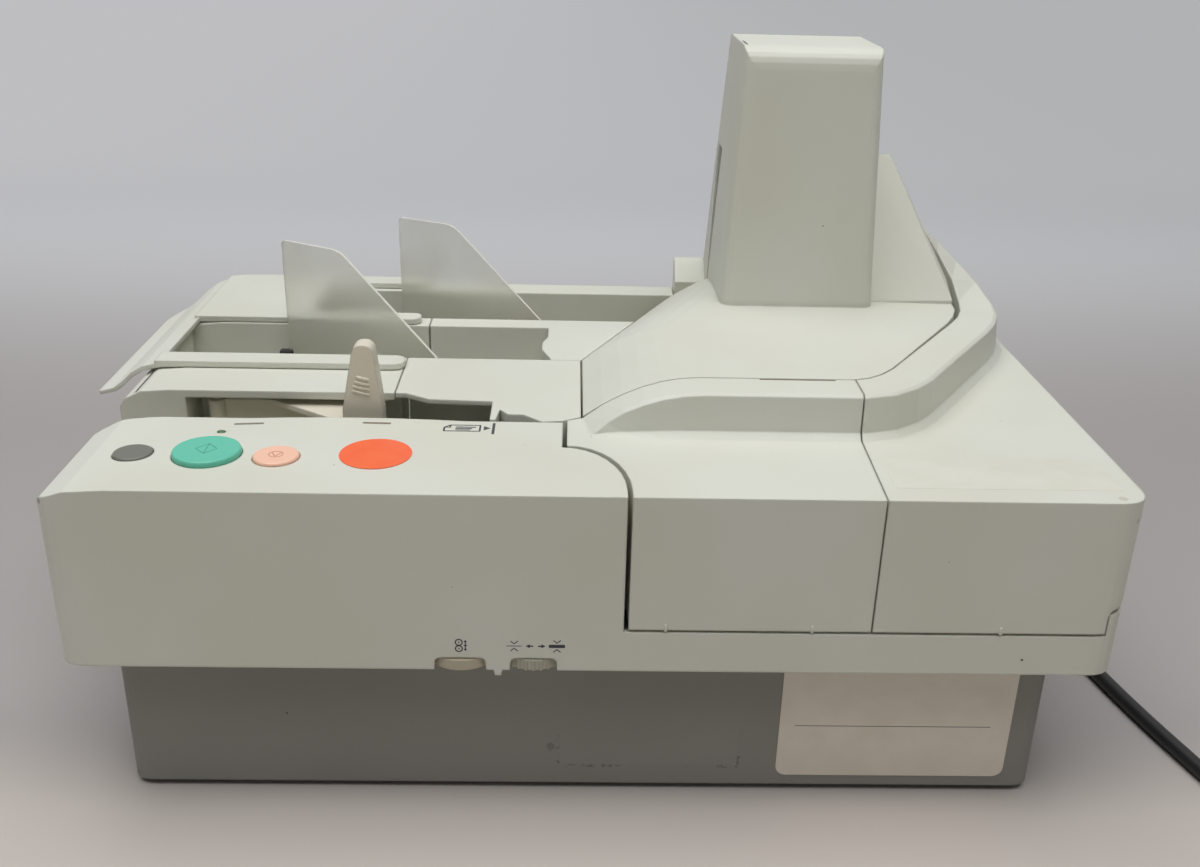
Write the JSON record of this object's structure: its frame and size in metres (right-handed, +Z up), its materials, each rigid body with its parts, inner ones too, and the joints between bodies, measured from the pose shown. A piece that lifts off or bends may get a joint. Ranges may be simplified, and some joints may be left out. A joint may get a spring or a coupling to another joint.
{
  "type": "cheque scanner",
  "caption": "Counter-top cheque scanner: slanting hopper with pusher, transport round a tower, two pockets with swinging guides, opening side cover, control keys and mains lead.",
  "frame": {"origin": "middle of the underside of the box round the scanner without its lead, on the surface that the feet stand on", "axes": "+X to the right along the width as the user faces the keys, +Y from the keys to the rear, +Z up"},
  "size_m": [0.6742, 0.479, 0.3195],
  "materials": {
    "cream": "fine moulded texture, satin",
    "slate": "fine moulded texture, matt",
    "tab": "smooth moulded, satin",
    "black": "satin",
    "rubber": "matt",
    "steel": "turned, plain",
    "zinc": "zinc plated sheet",
    "board": "solder resist, satin",
    "frosted": "frosted, translucent",
    "teal": "satin",
    "pink": "satin",
    "key_grey": "satin",
    "orange": "printed film",
    "lamp": "clear, tinted",
    "paper": "printed film, blank",
    "glass": "polished window"
  },
  "bodies": {
    "housing": {"base_tray": "slate", "foot_1": "rubber", "foot_2": "rubber", "foot_3": "rubber", "foot_4": "rubber", "blank_label": "paper", "chassis_plate": "zinc", "front_cover": "cream", "stacker_housing": "cream", "feed_deck": "cream", "exit_deck": "cream", "inner_unit_cover": "cream", "rear_cover": "cream", "key_switch_board": "board", "status_lamp": "lamp", "round_sticker": "orange", "hinge_pin_front": "steel", "hinge_pin_rear": "steel", "feed_motor": "black", "drive_belt": "rubber", "main_motor": "steel", "image_sensor_back": "glass", "magnetic_head": "steel", "ink_cartridge": "black", "power_supply_board": "board", "control_board": "board", "fan_frame": "black", "mains_inlet": "black", "data_port": "zinc", "mains_connector": "black", "mains_cord": "black", "mains_cord_coil": "black", "mains_plug": "black"},
    "opening_cover": {"front_door_cover": "cream", "right_side_cover": "cream", "side_guide": "cream", "cover_strap": "zinc", "image_sensor_front": "glass"},
    "left_hood_body": {"left_hood": "cream"},
    "pusher_body": {"pusher": "tab"},
    "pocket_guide_1_body": {"pocket_guide_1": "frosted"},
    "pocket_guide_2_body": {"pocket_guide_2": "frosted"},
    "jog_key_body": {"jog_key": "key_grey"},
    "start_key_body": {"start_key": "teal"},
    "stop_key_body": {"stop_key": "pink"},
    "roller_dial_body": {"roller_dial": "slate"},
    "thickness_dial_body": {"thickness_dial": "slate"},
    "feed_roller_body": {"feed_roller": "rubber"},
    "separation_roller_body": {"separation_roller": "rubber"},
    "drive_roller_1_body": {"drive_roller_1": "rubber"},
    "drive_roller_2_body": {"drive_roller_2": "rubber"},
    "motor_pulley_body": {"motor_pulley": "steel"},
    "pinch_roller_1_body": {"pinch_roller_1": "rubber"},
    "pinch_roller_2_body": {"pinch_roller_2": "rubber"},
    "fan_rotor_body": {"fan_rotor": "black"},
    "power_rocker_body": {"power_rocker": "black"},
    "sorter_flapper_body": {"sorter_flapper": "tab"}
  },
  "joints": [
    {"name": "cover_hinge", "type": "hinge", "parent": "housing", "child": "opening_cover", "pos_m": [0.242, 0, 0.1085], "axis": [0, 1, 0], "range_deg": [0, 70]},
    {"name": "hood_slide", "type": "slide", "parent": "housing", "child": "left_hood_body", "axis": [-1, 0, 0], "range_m": [0, 0.03]},
    {"name": "pusher_pivot", "type": "hinge", "parent": "housing", "child": "pusher_body", "pos_m": [-0.1762, -0.0293, 0.125], "axis": [0, 0, 1], "range_deg": [0, 8], "stiffness_Nm_per_rad": 0.3, "springref_deg": -5.73},
    {"name": "pocket_guide_1_pivot", "type": "hinge", "parent": "housing", "child": "pocket_guide_1_body", "pos_m": [-0.0702, 0.0172, 0.125], "axis": [0, 0, 1], "range_deg": [-2.5, 22]},
    {"name": "pocket_guide_2_pivot", "type": "hinge", "parent": "housing", "child": "pocket_guide_2_body", "pos_m": [-0.0167, 0.0847, 0.125], "axis": [0, 0, 1], "range_deg": [-9, 16]},
    {"name": "jog_key_press", "type": "slide", "parent": "housing", "child": "jog_key_body", "axis": [0, 0, -1], "range_m": [0, 0.002], "stiffness_N_per_m": 300, "springref_m": -0.001},
    {"name": "start_key_press", "type": "slide", "parent": "housing", "child": "start_key_body", "axis": [0, 0, -1], "range_m": [0, 0.002], "stiffness_N_per_m": 300, "springref_m": -0.001},
    {"name": "stop_key_press", "type": "slide", "parent": "housing", "child": "stop_key_body", "axis": [0, 0, -1], "range_m": [0, 0.002], "stiffness_N_per_m": 300, "springref_m": -0.001},
    {"name": "roller_dial_turn", "type": "hinge", "parent": "housing", "child": "roller_dial_body", "pos_m": [-0.0467, -0.1363, 0.0796], "axis": [0, 0, 1], "range_deg": [-60, 60]},
    {"name": "thickness_dial_turn", "type": "hinge", "parent": "housing", "child": "thickness_dial_body", "pos_m": [-0.0147, -0.1363, 0.0796], "axis": [0, 0, 1], "range_deg": [-60, 60]},
    {"name": "feed_roller_spin", "type": "hinge", "parent": "housing", "child": "feed_roller_body", "pos_m": [-0.0192, -0.0801, 0.1145], "axis": [0, 0, 1], "continuous": true},
    {"name": "separation_roller_spin", "type": "hinge", "parent": "housing", "child": "separation_roller_body", "pos_m": [-0.0192, -0.0575, 0.1205], "axis": [0, 0, 1], "continuous": true},
    {"name": "drive_roller_1_spin", "type": "hinge", "parent": "housing", "child": "drive_roller_1_body", "pos_m": [0.0728, -0.05515, 0.1107], "axis": [0, 0, 1], "continuous": true},
    {"name": "drive_roller_2_spin", "type": "hinge", "parent": "housing", "child": "drive_roller_2_body", "pos_m": [0.16287, -0.01992, 0.1107], "axis": [0, 0, 1], "continuous": true},
    {"name": "motor_pulley_spin", "type": "hinge", "parent": "housing", "child": "motor_pulley_body", "pos_m": [0.0728, 0.0397, 0.0936], "axis": [0, 0, 1], "continuous": true},
    {"name": "pinch_roller_1_spin", "type": "hinge", "parent": "opening_cover", "child": "pinch_roller_1_body", "pos_m": [0.0728, -0.07175, 0.1272], "axis": [0, 0, 1], "continuous": true},
    {"name": "pinch_roller_2_spin", "type": "hinge", "parent": "opening_cover", "child": "pinch_roller_2_body", "pos_m": [0.17678, -0.02898, 0.1272], "axis": [0, 0, 1], "continuous": true},
    {"name": "fan_spin", "type": "hinge", "parent": "housing", "child": "fan_rotor_body", "pos_m": [-0.0092, 0.1297, 0.0312], "axis": [0, 1, 0], "continuous": true},
    {"name": "power_rocker_tilt", "type": "hinge", "parent": "housing", "child": "power_rocker_body", "pos_m": [0.1878, 0.1423, 0.034], "axis": [1, 0, 0], "range_deg": [-16, 0]},
    {"name": "sorter_flapper_swing", "type": "hinge", "parent": "housing", "child": "sorter_flapper_body", "pos_m": [0.0228, 0.1037, 0.12], "axis": [0, 0, 1], "range_deg": [-10, 10]}
  ],
  "couplings": [
    {"joint": "drive_roller_2_spin", "follows": "drive_roller_1_spin", "ratio": 1},
    {"joint": "motor_pulley_spin", "follows": "drive_roller_1_spin", "ratio": 1}
  ]
}
